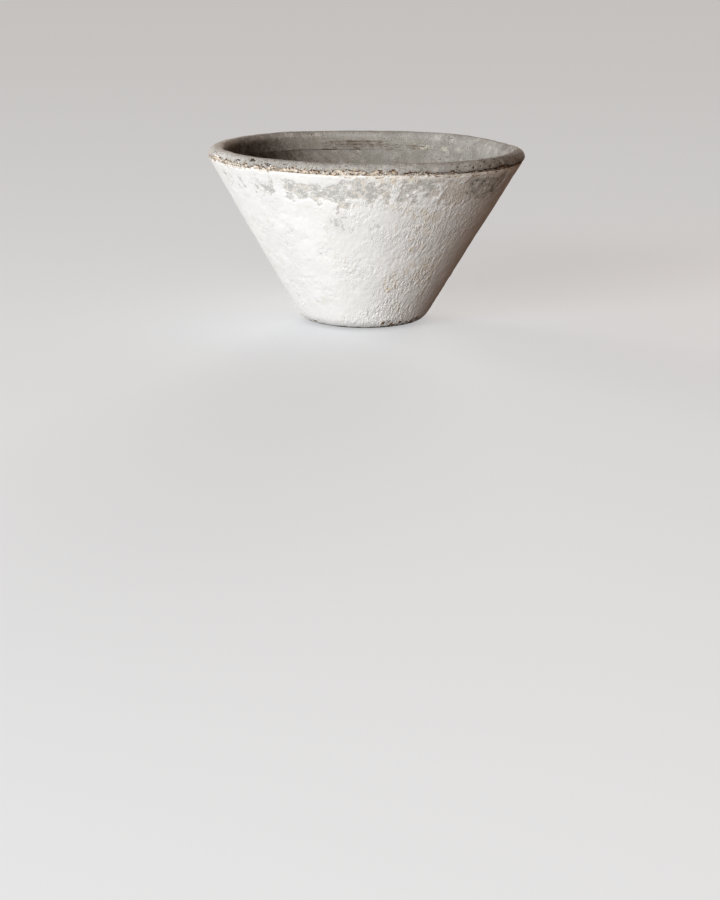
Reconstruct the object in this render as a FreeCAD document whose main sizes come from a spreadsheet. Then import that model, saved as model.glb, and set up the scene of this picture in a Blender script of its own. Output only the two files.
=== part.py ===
import FreeCAD, Part
import math
import os

import Sketcher

# Cone planter of hand-laid fibre cement: a cone wall turned in at a rounded heel, a collar folded over its
# top edge, a base disc lapped into its foot, and two coats of masonry paint outside. Millimetres, +Z up.
# The origin is the centre of the flat underside.

# Driving sizes, one sheet row each.
SIZES = {
    # overall form
    "rim_diameter": 600.0,
    "overall_height": 334.0,
    "foot_diameter": 168.0,
    "heel_radius": 49.0,
    # cement sheet of the wall and the base
    "wall_thickness": 14.0,
    "base_thickness": 14.0,
    # collar: round crest, and the skirt that thins down the inside of the wall
    "crest_radius": 14.0,
    "skirt_depth": 37.0,
    "skirt_lip": 3.0,
    "lip_fillet": 1.2,
    # half-lap between the foot ring of the wall and the base disc
    "foot_opening_diameter": 116.0,
    "lap_diameter": 156.0,
    "lap_height": 7.0,
    # drain hole
    "drain_diameter": 30.0,
    "drain_chamfer": 3.0,
    # paint, and the bare strip that it leaves above the ground
    "undercoat_thickness": 0.6,
    "topcoat_thickness": 0.6,
    "bare_foot_height": 5.0,
    # cement paste line round the lapped joints
    "joint_clearance": 0.2,
}

START, END, CENTRE = 1, 2, 3
ORIGIN = -1
STRAIGHT_DOWN = -math.pi / 2
SAME = 1e-6

# Sheet expressions that more than one piece is bound to.
RIM_CENTRE_X = "sizes.rim_diameter / 2 - sizes.crest_radius"
RIM_CENTRE_Y = "sizes.overall_height - sizes.crest_radius"
BARE_RIM_RADIUS = "sizes.crest_radius - sizes.undercoat_thickness - sizes.topcoat_thickness"
SEAT_LENGTH = (
    "sizes.undercoat_thickness + sizes.topcoat_thickness + sizes.wall_thickness + sizes.joint_clearance"
)
SKIRT_LEVEL = "sizes.overall_height - sizes.skirt_depth"
PLUG_RADIUS = "sizes.foot_opening_diameter / 2 - sizes.joint_clearance"
DISC_RADIUS = "sizes.lap_diameter / 2 - sizes.joint_clearance"


def fill_sheet(doc):
    """One row per driving size: its name in column A, its value in column B under the same alias."""
    sheet = doc.addObject("Spreadsheet::Sheet", "sizes")
    for row, (name, value) in enumerate(SIZES.items(), start=1):
        sheet.set(f"A{row}", name)
        sheet.set(f"B{row}", str(value))
        sheet.setAlias(f"B{row}", name)
    doc.recompute()
    return sheet


class Section:
    """The section that all pieces share: the heel's centre, the rim's centre and the wall line past both.

    The wall's outer face lies one heel radius from the heel's centre, and one crest radius less the paint
    from the rim's centre. The cosine of the angle between the line of centres and the wall's normal is the
    difference of those two radii over the distance of the centres.
    """

    def __init__(self, sheet):
        self.sheet = sheet
        self.paint_build = sheet.undercoat_thickness + sheet.topcoat_thickness
        self.bare_rim_radius = sheet.crest_radius - self.paint_build
        self.heel = (sheet.foot_diameter / 2, sheet.heel_radius)
        self.rim = (sheet.rim_diameter / 2 - sheet.crest_radius, sheet.overall_height - sheet.crest_radius)
        run, rise = self.rim[0] - self.heel[0], self.rim[1] - self.heel[1]
        turned = math.acos((sheet.heel_radius - self.bare_rim_radius) / math.hypot(run, rise))
        self.normal_angle = math.atan2(rise, run) - turned

    def out_from(self, centre, radius, angle=None):
        """The point at a radius from a centre, square to the wall unless an angle is given."""
        angle = self.normal_angle if angle is None else angle
        return (centre[0] + radius * math.cos(angle), centre[1] + radius * math.sin(angle))


class Profile:
    """A sketch on one of its body's origin planes, with each datum constraint bound to the sheet."""

    def __init__(self, body, name, plane="XZ_Plane"):
        self.sketch = body.newObject("Sketcher::SketchObject", name)
        support = next(f for f in body.Origin.OriginFeatures if f.Role == plane)
        self.sketch.AttachmentSupport = [(support, "")]
        self.sketch.MapMode = "FlatFace"

    def line(self, start, end, guide=False):
        return self.sketch.addGeometry(Part.LineSegment(vector(start), vector(end)), guide)

    def circle(self, centre, radius):
        return self.sketch.addGeometry(Part.Circle(vector(centre), FreeCAD.Vector(0, 0, 1), radius), False)

    def arc(self, centre, radius, first, last):
        circle = Part.Circle(vector(centre), FreeCAD.Vector(0, 0, 1), radius)
        return self.sketch.addGeometry(Part.ArcOfCircle(circle, first, last), False)

    def rule(self, kind, *where):
        return self.sketch.addConstraint(Sketcher.Constraint(kind, *where))

    def size(self, name, expression, kind, *where):
        """A named datum that follows the sheet."""
        self.sketch.renameConstraint(self.rule(kind, *where), name)
        self.sketch.setExpression(f"Constraints.{name}", expression)

    def place(self, name, x_expression, y_expression, geometry, end, at):
        """Holds a point at a place measured from the sketch's origin."""
        self.size(f"{name}_x", x_expression, "DistanceX", ORIGIN, START, geometry, end, at[0])
        self.size(f"{name}_y", y_expression, "DistanceY", ORIGIN, START, geometry, end, at[1])

    def closed_run(self, *edges):
        """Joins each edge to the next. An edge is its index and its two ends, in the order of the run."""
        for (edge, _, last), (following, first, _) in zip(edges, edges[1:] + edges[:1]):
            self.rule("Coincident", edge, last, following, first)

    def wall_guide(self, section):
        """Guide lines: the wall's bare outer face, and the spokes that stand square to it at heel and rim."""
        sheet = section.sheet
        foot = section.out_from(section.heel, sheet.heel_radius)
        top = section.out_from(section.rim, section.bare_rim_radius)
        heel_spoke = self.line(section.heel, foot, guide=True)
        rim_spoke = self.line(section.rim, top, guide=True)
        wall = self.line(foot, top, guide=True)
        self.place("heel", "sizes.foot_diameter / 2", "sizes.heel_radius", heel_spoke, START, section.heel)
        self.place("rim", RIM_CENTRE_X, RIM_CENTRE_Y, rim_spoke, START, section.rim)
        self.size("heel_spoke", "sizes.heel_radius", "Distance", heel_spoke, sheet.heel_radius)
        self.size("rim_spoke", BARE_RIM_RADIUS, "Distance", rim_spoke, section.bare_rim_radius)
        for spoke, end in ((heel_spoke, START), (rim_spoke, END)):
            self.rule("Coincident", spoke, END, wall, end)
            self.rule("Perpendicular", spoke, wall)
        return heel_spoke, rim_spoke, wall


def vector(point):
    return FreeCAD.Vector(point[0], point[1], 0)


def turn(body, profile, name, kind="PartDesign::Revolution"):
    """Turns a profile right round the planter's axis, to add or to cut."""
    solid = body.newObject(kind, name)
    solid.Profile = profile.sketch
    solid.ReferenceAxis = (profile.sketch, ["V_Axis"])
    solid.Angle = 360
    return solid


def round_edges(feature, radius, height):
    """Names of a feature's circles about the axis of a given radius at a given height."""
    found = []
    for number, edge in enumerate(feature.Shape.Edges, start=1):
        if not isinstance(edge.Curve, Part.Circle):
            continue
        measured = ((edge.Curve.Radius, radius), (edge.Curve.Center.z, height))
        if all(math.isclose(*pair, rel_tol=SAME) for pair in measured):
            found.append(f"Edge{number}")
    return found


def make_cone_wall(doc, section):
    """The wall sheet: straight cone, rounded heel, and a foot ring rebated to carry the base disc."""
    sheet = section.sheet
    inner_heel = sheet.heel_radius - sheet.wall_thickness
    opening, lap = sheet.foot_opening_diameter / 2, sheet.lap_diameter / 2
    top_out = section.out_from(section.rim, section.bare_rim_radius)
    top_in = section.out_from(section.rim, section.bare_rim_radius - sheet.wall_thickness)
    foot_out = section.out_from(section.heel, sheet.heel_radius)
    foot_in = section.out_from(section.heel, inner_heel)
    floor_edge = (section.heel[0], sheet.wall_thickness)

    body = doc.addObject("PartDesign::Body", "cone_wall")
    profile = Profile(body, "wall_section")
    heel_spoke, _, wall = profile.wall_guide(section)
    under = profile.line((opening, 0), (section.heel[0], 0))
    turn_out = profile.arc(section.heel, sheet.heel_radius, STRAIGHT_DOWN, section.normal_angle)
    outside = profile.line(foot_out, top_out)
    top = profile.line(top_out, top_in)
    inside = profile.line(top_in, foot_in)
    turn_in = profile.arc(section.heel, inner_heel, STRAIGHT_DOWN, section.normal_angle)
    floor = profile.line(floor_edge, (lap, sheet.wall_thickness))
    riser = profile.line((lap, sheet.wall_thickness), (lap, sheet.lap_height))
    ledge = profile.line((lap, sheet.lap_height), (opening, sheet.lap_height))
    bore = profile.line((opening, sheet.lap_height), (opening, 0))
    profile.closed_run(
        (under, START, END), (turn_out, START, END), (outside, START, END), (top, START, END),
        (inside, START, END), (turn_in, END, START), (floor, START, END), (riser, START, END),
        (ledge, START, END), (bore, START, END),
    )
    for level in (under, floor, ledge):
        profile.rule("Horizontal", level)
    for upright in (riser, bore):
        profile.rule("Vertical", upright)
    for heel_turn in (turn_out, turn_in):
        profile.rule("Coincident", heel_turn, CENTRE, heel_spoke, START)
        profile.rule("Vertical", heel_turn, CENTRE, heel_turn, START)
    profile.rule("Coincident", outside, START, wall, START)
    profile.rule("Coincident", outside, END, wall, END)
    profile.rule("Perpendicular", top, wall)
    profile.rule("Parallel", inside, wall)
    profile.rule("PointOnObject", inside, END, heel_spoke)
    profile.size("wall_thickness", "sizes.wall_thickness", "Distance", top, sheet.wall_thickness)
    profile.size("opening", "sizes.foot_opening_diameter / 2", "DistanceX", ORIGIN, START, bore, END, opening)
    profile.size("lap", "sizes.lap_diameter / 2", "DistanceX", ORIGIN, START, riser, START, lap)
    profile.size("lap_height", "sizes.lap_height", "DistanceY", ORIGIN, START, riser, END, sheet.lap_height)
    turn(body, profile, "wall_turned")
    return body


def make_rim_collar(doc, section):
    """The folded collar: sits on the wall's top edge, rounds over the crest and thins down the inside."""
    sheet = section.sheet
    seat_length = section.paint_build + sheet.wall_thickness + sheet.joint_clearance
    lip = sheet.skirt_lip - sheet.joint_clearance
    skirt_level = sheet.overall_height - sheet.skirt_depth
    seat_out = section.out_from(section.rim, sheet.crest_radius)
    seat_in = section.out_from(section.rim, sheet.crest_radius - seat_length)
    skirt_run = (seat_in[1] - skirt_level) / math.cos(section.normal_angle)
    lip_wall = section.out_from(seat_in, skirt_run, section.normal_angle + STRAIGHT_DOWN)
    lip_free = section.out_from(lip_wall, -lip)
    run, rise = lip_free[0] - section.rim[0], lip_free[1] - section.rim[1]
    touch_angle = math.atan2(rise, run) % math.tau - math.acos(sheet.crest_radius / math.hypot(run, rise))
    touch = section.out_from(section.rim, sheet.crest_radius, touch_angle)

    body = doc.addObject("PartDesign::Body", "rim_collar")
    profile = Profile(body, "collar_section")
    _, rim_spoke, wall = profile.wall_guide(section)
    crest = profile.arc(section.rim, sheet.crest_radius, section.normal_angle, touch_angle)
    skirt = profile.line(touch, lip_free)
    lip_end = profile.line(lip_free, lip_wall)
    back = profile.line(lip_wall, seat_in)
    seat = profile.line(seat_in, seat_out)
    profile.rule("Tangent", crest, END, skirt, START)
    for edge, following in ((skirt, lip_end), (lip_end, back), (back, seat), (seat, crest)):
        profile.rule("Coincident", edge, END, following, START)
    profile.rule("Coincident", crest, CENTRE, rim_spoke, START)
    for end in (START, END):
        profile.rule("PointOnObject", seat, end, rim_spoke)
    profile.rule("Parallel", back, wall)
    profile.rule("Perpendicular", lip_end, wall)
    profile.size("crest_radius", "sizes.crest_radius", "Radius", crest, sheet.crest_radius)
    profile.size("seat_length", SEAT_LENGTH, "Distance", seat, seat_length)
    profile.size("lip", "sizes.skirt_lip - sizes.joint_clearance", "Distance", lip_end, lip)
    profile.size("skirt_level", SKIRT_LEVEL, "DistanceY", ORIGIN, START, back, START, skirt_level)
    solid = turn(body, profile, "collar_turned")
    doc.recompute()
    rounded = body.newObject("PartDesign::Fillet", "lip_rounded")
    rounded.Base = (solid, round_edges(solid, *lip_free))
    rounded.setExpression("Radius", "sizes.lip_fillet")
    return body


def make_base_disc(doc, section):
    """The floor: a disc rebated under its edge to drop into the foot ring, with a chamfered drain hole."""
    sheet = section.sheet
    disc = sheet.lap_diameter / 2 - sheet.joint_clearance
    plug = sheet.foot_opening_diameter / 2 - sheet.joint_clearance
    drain = sheet.drain_diameter / 2

    body = doc.addObject("PartDesign::Body", "base_disc")
    outline = Profile(body, "disc_outline", "XY_Plane")
    edge = outline.circle((0, 0), disc)
    outline.rule("Coincident", edge, CENTRE, ORIGIN, START)
    outline.size("disc", DISC_RADIUS, "Radius", edge, disc)
    solid = body.newObject("PartDesign::Pad", "disc_sheet")
    solid.Profile = outline.sketch
    solid.setExpression("Length", "sizes.base_thickness")

    rebate = Profile(body, "rebate_section")
    corners = [(plug, 0), (disc, 0), (disc, sheet.lap_height), (plug, sheet.lap_height)]
    sides = [rebate.line(a, b) for a, b in zip(corners, corners[1:] + corners[:1])]
    rebate.closed_run(*[(side, START, END) for side in sides])
    for level, upright in (sides[:2], sides[2:]):
        rebate.rule("Horizontal", level)
        rebate.rule("Vertical", upright)
    rebate.place("plug_corner", PLUG_RADIUS, "0", sides[0], START, corners[0])
    rebate.place("disc_corner", DISC_RADIUS, "sizes.lap_height", sides[2], START, corners[2])
    doc.recompute()
    turn(body, rebate, "disc_rebate", "PartDesign::Groove")

    hole = Profile(body, "drain_outline", "XY_Plane")
    rim = hole.circle((0, 0), drain)
    hole.rule("Coincident", rim, CENTRE, ORIGIN, START)
    hole.size("drain", "sizes.drain_diameter / 2", "Radius", rim, drain)
    doc.recompute()
    bored = body.newObject("PartDesign::Pocket", "drain_hole")
    bored.Profile = hole.sketch
    bored.Type = "ThroughAll"
    bored.Midplane = True
    doc.recompute()

    eased = body.newObject("PartDesign::Chamfer", "drain_mouth")
    eased.Base = (bored, round_edges(bored, drain, sheet.base_thickness))
    eased.setExpression("Size", "sizes.drain_chamfer")
    return body


def make_coat(doc, section, name, laid_on, thickness, laid_on_expression, thickness_expression):
    """A coat of paint: a shell of even thickness from the collar's underside down round the heel.

    It is laid on another coat of a given thickness, or on the bare wall. It ends square to the heel's curve,
    where that stands the bare foot height above the ground.
    """
    sheet = section.sheet
    low_angle = math.asin(sheet.bare_foot_height / sheet.heel_radius - 1)
    inner_radius = sheet.heel_radius + laid_on
    outer_radius = inner_radius + thickness
    top_in = section.out_from(section.rim, section.bare_rim_radius + laid_on)
    top_out = section.out_from(section.rim, section.bare_rim_radius + laid_on + thickness)
    foot_in = section.out_from(section.heel, inner_radius)
    foot_out = section.out_from(section.heel, outer_radius)
    low_in = section.out_from(section.heel, inner_radius, low_angle)
    low_out = section.out_from(section.heel, outer_radius, low_angle)

    body = doc.addObject("PartDesign::Body", name)
    profile = Profile(body, f"{name}_section")
    heel_spoke, rim_spoke, wall = profile.wall_guide(section)
    low_spoke = profile.line(
        section.heel, section.out_from(section.heel, sheet.heel_radius, low_angle), guide=True
    )
    turn_out = profile.arc(section.heel, outer_radius, low_angle, section.normal_angle)
    outside = profile.line(foot_out, top_out)
    top = profile.line(top_out, top_in)
    inside = profile.line(top_in, foot_in)
    turn_in = profile.arc(section.heel, inner_radius, low_angle, section.normal_angle)
    low = profile.line(low_in, low_out)
    profile.closed_run(
        (turn_out, START, END), (outside, START, END), (top, START, END), (inside, START, END),
        (turn_in, END, START), (low, START, END),
    )
    profile.rule("Coincident", low_spoke, START, heel_spoke, START)
    for heel_turn in (turn_out, turn_in):
        profile.rule("Coincident", heel_turn, CENTRE, heel_spoke, START)
        profile.rule("PointOnObject", heel_turn, START, low_spoke)
        profile.rule("PointOnObject", heel_turn, END, heel_spoke)
    for end in (START, END):
        profile.rule("PointOnObject", top, end, rim_spoke)
    for face in (outside, inside):
        profile.rule("Parallel", face, wall)
    profile.size("low_spoke", "sizes.heel_radius", "Distance", low_spoke, sheet.heel_radius)
    bare = sheet.bare_foot_height
    profile.size("bare_foot", "sizes.bare_foot_height", "DistanceY", ORIGIN, START, low_spoke, END, bare)
    profile.size("laid_on", f"sizes.heel_radius + {laid_on_expression}", "Radius", turn_in, inner_radius)
    profile.size("thickness", thickness_expression, "Distance", top, thickness)
    turn(body, profile, f"{name}_turned")
    return body


def check(doc, bodies):
    """Stops if any object failed to build or any piece is not one valid solid."""
    failed = [o.Label for o in doc.Objects if {"Invalid", "Error"} & set(o.State)]
    if failed:
        raise RuntimeError(f"failed to build: {failed}")
    for body in bodies:
        shape = body.Shape
        if shape.isNull() or not shape.isValid() or len(shape.Solids) != 1:
            raise RuntimeError(f"{body.Label} is not one valid solid")


def main():
    doc = FreeCAD.newDocument("cone_planter")
    sheet = fill_sheet(doc)
    section = Section(sheet)
    bodies = [
        make_cone_wall(doc, section),
        make_rim_collar(doc, section),
        make_base_disc(doc, section),
        make_coat(
            doc, section, "cream_undercoat",
            0, sheet.undercoat_thickness, "0", "sizes.undercoat_thickness",
        ),
        make_coat(
            doc, section, "white_topcoat",
            sheet.undercoat_thickness, sheet.topcoat_thickness,
            "sizes.undercoat_thickness", "sizes.topcoat_thickness",
        ),
    ]
    doc.recompute()
    check(doc, bodies)
    os.makedirs("parts", exist_ok=True)
    for body in bodies:
        body.Shape.exportStep(os.path.join("parts", f"{body.Label}.step"))
        box = body.Shape.optimalBoundingBox()
        print(f"{body.Label}: {box.XLength:.2f} across, z {box.ZMin:.2f} to {box.ZMax:.2f}", end=", ")
        print(f"volume {body.Shape.Volume:.0f}")


main()
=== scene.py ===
import itertools
import math

import bpy
import numpy as np
from mathutils import Matrix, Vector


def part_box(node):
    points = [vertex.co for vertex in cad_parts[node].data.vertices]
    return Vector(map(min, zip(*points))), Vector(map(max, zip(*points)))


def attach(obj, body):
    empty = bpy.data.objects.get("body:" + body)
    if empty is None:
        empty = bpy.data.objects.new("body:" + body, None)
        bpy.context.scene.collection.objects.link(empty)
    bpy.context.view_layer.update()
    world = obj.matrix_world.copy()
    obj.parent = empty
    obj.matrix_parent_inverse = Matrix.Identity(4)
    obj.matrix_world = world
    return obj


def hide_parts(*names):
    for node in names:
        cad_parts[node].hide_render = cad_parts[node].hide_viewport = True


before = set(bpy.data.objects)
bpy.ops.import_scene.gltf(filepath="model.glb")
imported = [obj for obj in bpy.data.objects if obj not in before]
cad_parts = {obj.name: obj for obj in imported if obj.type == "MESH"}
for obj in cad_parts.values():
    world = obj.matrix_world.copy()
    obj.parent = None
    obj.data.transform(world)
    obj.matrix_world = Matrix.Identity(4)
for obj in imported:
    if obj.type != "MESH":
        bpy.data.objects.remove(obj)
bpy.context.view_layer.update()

# A weathered cone planter: hand-laid fibre cement under worn masonry paint, in metres in the solids' frame.
# Angles round it are in degrees from the front, positive to the right as the camera sees it.

MM = 0.001

# Sizes: the outer ones are read from the solids' boxes, the rest are the solids' own.
RIM_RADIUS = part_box("rim_collar")[1].x
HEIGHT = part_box("rim_collar")[1].z
SKIRT_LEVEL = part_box("rim_collar")[0].z
DISC_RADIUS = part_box("base_disc")[1].x
BASE_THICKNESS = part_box("base_disc")[1].z
FOOT_RADIUS = 84 * MM
HEEL_RADIUS = 49 * MM
WALL_THICKNESS = 14 * MM
CREST_RADIUS = 14 * MM
SKIRT_LIP = 3 * MM
COAT = 0.6 * MM
BARE_FOOT = 5 * MM
LAP_HEIGHT = 7 * MM
FOOT_OPENING = 58 * MM
DRAIN_RADIUS = 15 * MM
DRAIN_CHAMFER = 3 * MM
JOINT_CLEARANCE = 0.2 * MM

# Section, as radius and height. The bare wall lies one heel radius from the heel's centre, and one crest
# radius less the paint from the rim's centre.
HEEL = np.array([FOOT_RADIUS, HEEL_RADIUS])
RIM = np.array([RIM_RADIUS - CREST_RADIUS, HEIGHT - CREST_RADIUS])
BARE_RIM = CREST_RADIUS - 2 * COAT
SPAN = RIM - HEEL
NORMAL_ANGLE = math.atan2(SPAN[1], SPAN[0]) - math.acos((HEEL_RADIUS - BARE_RIM) / math.hypot(*SPAN))
OUT = np.array([math.cos(NORMAL_ANGLE), math.sin(NORMAL_ANGLE)])
DOWN = np.array([OUT[1], -OUT[0]])
LOW_ANGLE = math.asin(BARE_FOOT / HEEL_RADIUS - 1)
WALL_LENGTH = math.sqrt(SPAN @ SPAN - (HEEL_RADIUS - BARE_RIM) ** 2)
PAINT_END = WALL_LENGTH + HEEL_RADIUS * (NORMAL_ANGLE - LOW_ANGLE)
FOOT_END = WALL_LENGTH + HEEL_RADIUS * (NORMAL_ANGLE + math.pi / 2)

# Grid: every ring has the same columns, so that the paint nests on the cement. Rows are counted down the
# outside from the collar's joint: they are negative where the paint laps on to the collar, and the flaked
# band is the first stretch under the joint.
COLUMNS = 720
TURN = (np.arange(COLUMNS) * 2 / COLUMNS - 1) * math.pi
LAP = 12 * MM
BAND = 74 * MM
LAP_ROWS = np.linspace(-LAP, 0, 8, endpoint=False)
BAND_ROWS = np.linspace(0, BAND, 35, endpoint=False)
LOW_ROWS = np.linspace(BAND, PAINT_END, 89)
PAINT_ROWS = np.concatenate([LAP_ROWS, BAND_ROWS, LOW_ROWS])
LIP_ROWS = 3
SEAT_ROWS = 4

# How deep the hidden faces that close the coats lie in the cement.
CREAM_SUNK = 1.8 * MM
WHITE_SUNK = 1.5 * MM

# The brush strokes' own coordinates: round the cone on one mean radius, and shortened down it, which draws
# out the noise that follows them. Low on the side they are narrowed too, so the wrinkles are broader there.
STROKE_RADIUS = 0.25
STROKE_SHORTENING = 0.50
LOW_NARROWING = np.array([0.6, 0.6, 1.0])


def linear(code):
    """An sRGB hex colour as linear red, green, blue and alpha."""
    srgb = np.array([int(code[i:i + 2], 16) for i in (1, 3, 5)]) / 255
    low, high = srgb / 12.92, ((srgb + 0.055) / 1.055) ** 2.4
    return (*np.where(srgb <= 0.04045, low, high), 1.0)


# Noise, on whole arrays of points. The gain brings gradient noise to about -1 to 1.
HASHES = 65536
NOISE_GAIN = 1.7


def lattice_hash(cells, seed):
    """A repeatable whole number for each lattice cell: its coordinates times large primes, mixed by xor."""
    primes = np.array([73856093, 19349663, 83492791], dtype=np.int64)
    mixed = cells.astype(np.int64) * primes
    value = mixed[..., 0] ^ mixed[..., 1] ^ mixed[..., 2] ^ np.int64(seed * 40503 + 977)
    value = (value ^ (value >> 15)) * np.int64(224682251)
    return (value ^ (value >> 13)) & (HASHES - 1)


def unit_vectors(count, seed):
    """Random directions, evenly spread."""
    found = np.random.default_rng(seed).normal(size=(count, 3))
    return found / np.linalg.norm(found, axis=1, keepdims=True)


GRADIENTS = unit_vectors(256, 11)


def noise(points, size, seed):
    """Gradient noise, about -1 to 1, with features of a given size in millimetres.

    Each lattice corner has a random slope. The value is the slopes' heights, blended by a quintic ease.
    """
    scaled = points / (size * MM)
    cells = np.floor(scaled)
    inside = scaled - cells
    blend = inside ** 3 * (inside * (inside * 6 - 15) + 10)
    total = np.zeros(points.shape[:-1])
    for corner in itertools.product((0, 1), repeat=3):
        slope = GRADIENTS[lattice_hash(cells + corner, seed) % len(GRADIENTS)]
        weight = np.prod(np.where(corner, blend, 1 - blend), axis=-1)
        total += weight * np.sum(slope * (inside - corner), axis=-1)
    return NOISE_GAIN * total


def layers(points, size, seed, octaves=4, gain=0.5):
    """Noise of several sizes, each half the last and weaker by the gain."""
    return sum(gain ** k * noise(points, size / 2 ** k, seed + k) for k in range(octaves))


def spots(points, size, seed):
    """Distance, in cells, to the nearest of one random spot per lattice cell, and that spot's own number."""
    scaled = points / (size * MM)
    cells = np.floor(scaled)
    nearest = np.full(points.shape[:-1], 9.0)
    tag = np.zeros(points.shape[:-1])
    for step in itertools.product((-1, 0, 1), repeat=3):
        cell = cells + step
        place = np.stack([lattice_hash(cell, seed + k) / HASHES for k in range(3)], axis=-1)
        distance = np.linalg.norm(cell + place - scaled, axis=-1)
        closer = distance < nearest
        nearest = np.where(closer, distance, nearest)
        tag = np.where(closer, lattice_hash(cell, seed + 3) / HASHES, tag)
    return nearest, tag


def ease(value, low, high):
    """Smooth step from 0 at low to 1 at high."""
    share = np.clip((value - low) / (high - low), 0, 1)
    return share * share * (3 - 2 * share)


def hump(value, centre, width):
    """Bell curve of height 1."""
    return np.exp(-0.5 * ((value - centre) / width) ** 2)


def around(degrees, width):
    """Bell curve of the columns' angles about one angle, in degrees."""
    return hump((np.degrees(TURN) - degrees + 180) % 360 - 180, 0, width)


def between(first, last, soft=2.0):
    """1 for the columns between two angles in degrees, with soft ends."""
    degrees = np.degrees(TURN)
    return ease(degrees, first - soft, first + soft) * (1 - ease(degrees, last - soft, last + soft))


# Round surfaces

def turned(section):
    """A section carried round the axis: rows follow the section, columns the angle."""
    r, z = section[:, :1], section[:, 1:]
    return np.stack([r * np.sin(TURN), -r * np.cos(TURN), np.broadcast_to(z, (len(r), COLUMNS))], axis=-1)


def section_normals(section):
    """Outward normals of a closed anticlockwise section: its chords, turned a quarter clockwise."""
    chord = np.roll(section, -1, axis=0) - np.roll(section, 1, axis=0)
    normal = np.stack([chord[:, 1], -chord[:, 0]], axis=-1)
    return normal / np.linalg.norm(normal, axis=1, keepdims=True)


def run(start, end, count):
    """Evenly spaced points from the start up to, but not at, the end."""
    share = np.arange(count)[:, None] / count
    return np.asarray(start) * (1 - share) + np.asarray(end) * share


def bend(centre, radius, first, last, count):
    """Evenly spaced points of an arc, without the last."""
    angle = first + (last - first) * np.arange(count) / count
    return centre + radius * np.stack([np.cos(angle), np.sin(angle)], axis=-1)


def outside(s):
    """Bare section points and normals a distance s down the outside from the joint.

    Where s is negative they follow the crest's circle, then the straight wall, then the heel's circle.
    """
    s = np.asarray(s, float)
    angle = NORMAL_ANGLE - np.minimum(s, 0) / CREST_RADIUS - np.maximum(s - WALL_LENGTH, 0) / HEEL_RADIUS
    normal = np.stack([np.cos(angle), np.sin(angle)], axis=-1)
    on_rim = RIM + BARE_RIM * normal + np.clip(s, 0, WALL_LENGTH)[:, None] * DOWN
    on_heel = HEEL + HEEL_RADIUS * normal
    return np.where((s > WALL_LENGTH)[:, None], on_heel, on_rim), normal


def settle(points):
    """How the hand-laid cone is out of true, growing towards the rim.

    The rim is a little to the right and lower there, slightly oval, and its crest rises and dips at a few
    places.
    """
    rise = ease(points[..., 2] / HEIGHT, 0.0, 1.0)
    oval = 0.8 * np.cos(2 * TURN + 0.6) + 0.5 * np.cos(3 * TURN - 1.1) + 0.3 * np.cos(7 * TURN)
    lift = 1.8 * around(142, 12) - 2.6 * around(106, 13) - 0.8 * around(-112, 12) + 1.6 * around(-150, 34)
    lift += 0.5 * np.sin(5 * TURN + 0.4) + 0.3 * np.sin(9 * TURN) - 2.4 * np.sin(TURN)
    moved = points.copy()
    moved[..., 0] += rise * (2.6 + oval * np.sin(TURN)) * MM
    moved[..., 1] -= rise * oval * np.cos(TURN) * MM
    moved[..., 2] += rise ** 3 * lift * MM
    return moved


def ring_piece(name, points, material, node, masks, paths=None):
    """A closed ring from a grid of points that wraps both ways.

    Each mask has a number per point, and each path the coordinates that a pattern follows there.
    """
    rows = len(points)
    i, j = np.meshgrid(np.arange(rows), np.arange(COLUMNS), indexing="ij")
    across, down = (j + 1) % COLUMNS, (i + 1) % rows
    corners = [i * COLUMNS + j, i * COLUMNS + across, down * COLUMNS + across, down * COLUMNS + j]
    quads = np.stack(corners, axis=-1).reshape(-1, 4)
    mesh = bpy.data.meshes.new(name)
    mesh.vertices.add(rows * COLUMNS)
    mesh.vertices.foreach_set("co", settle(points).astype(np.float32).ravel())
    mesh.loops.add(quads.size)
    mesh.loops.foreach_set("vertex_index", quads.astype(np.int32).ravel())
    mesh.polygons.add(len(quads))
    mesh.polygons.foreach_set("loop_start", np.arange(0, quads.size, 4, dtype=np.int32))
    mesh.polygons.foreach_set("use_smooth", np.ones(len(quads), dtype=bool))
    mesh.update(calc_edges=True)
    for key, values in masks.items():
        layer = mesh.attributes.new(key, "FLOAT", "POINT")
        layer.data.foreach_set("value", np.broadcast_to(values, (rows, COLUMNS)).astype(np.float32).ravel())
    for key, values in (paths or {}).items():
        layer = mesh.attributes.new(key, "FLOAT_VECTOR", "POINT")
        layer.data.foreach_set("vector", values.astype(np.float32).ravel())
    mesh.materials.append(material)
    piece = bpy.data.objects.new(name, mesh)
    bpy.context.scene.collection.objects.link(piece)
    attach(piece, "root")
    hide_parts(node)


# Materials: first the sockets of a Mix node that mixes colours, and how far level streaks are drawn out.
MIX_SHARE, MIX_UNDER, MIX_OVER, MIX_RESULT = 0, 6, 7, 2
LEVEL_STREAKS = (0.14, 0.14, 1.0)


def add(tree, kind, inputs=None, **settings):
    """Adds a node, with its settings, and its inputs set or linked."""
    made = tree.nodes.new(kind)
    for key, value in settings.items():
        setattr(made, key, value)
    for key, value in (inputs or {}).items():
        if isinstance(value, bpy.types.NodeSocket):
            tree.links.new(value, made.inputs[key])
        else:
            made.inputs[key].default_value = value
    return made


def laid_over(tree, under, level, low, high, code):
    """A colour laid over another, with a share that eases from 0 to 1 as a level rises from low to high."""
    share = add(tree, "ShaderNodeMapRange", {
        "Value": level, "From Min": low, "From Max": high}, interpolation_type="SMOOTHSTEP")
    mixed = add(tree, "ShaderNodeMix", {
        MIX_SHARE: share.outputs[0], MIX_UNDER: under, MIX_OVER: linear(code)}, data_type="RGBA")
    return mixed.outputs[MIX_RESULT]


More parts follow.
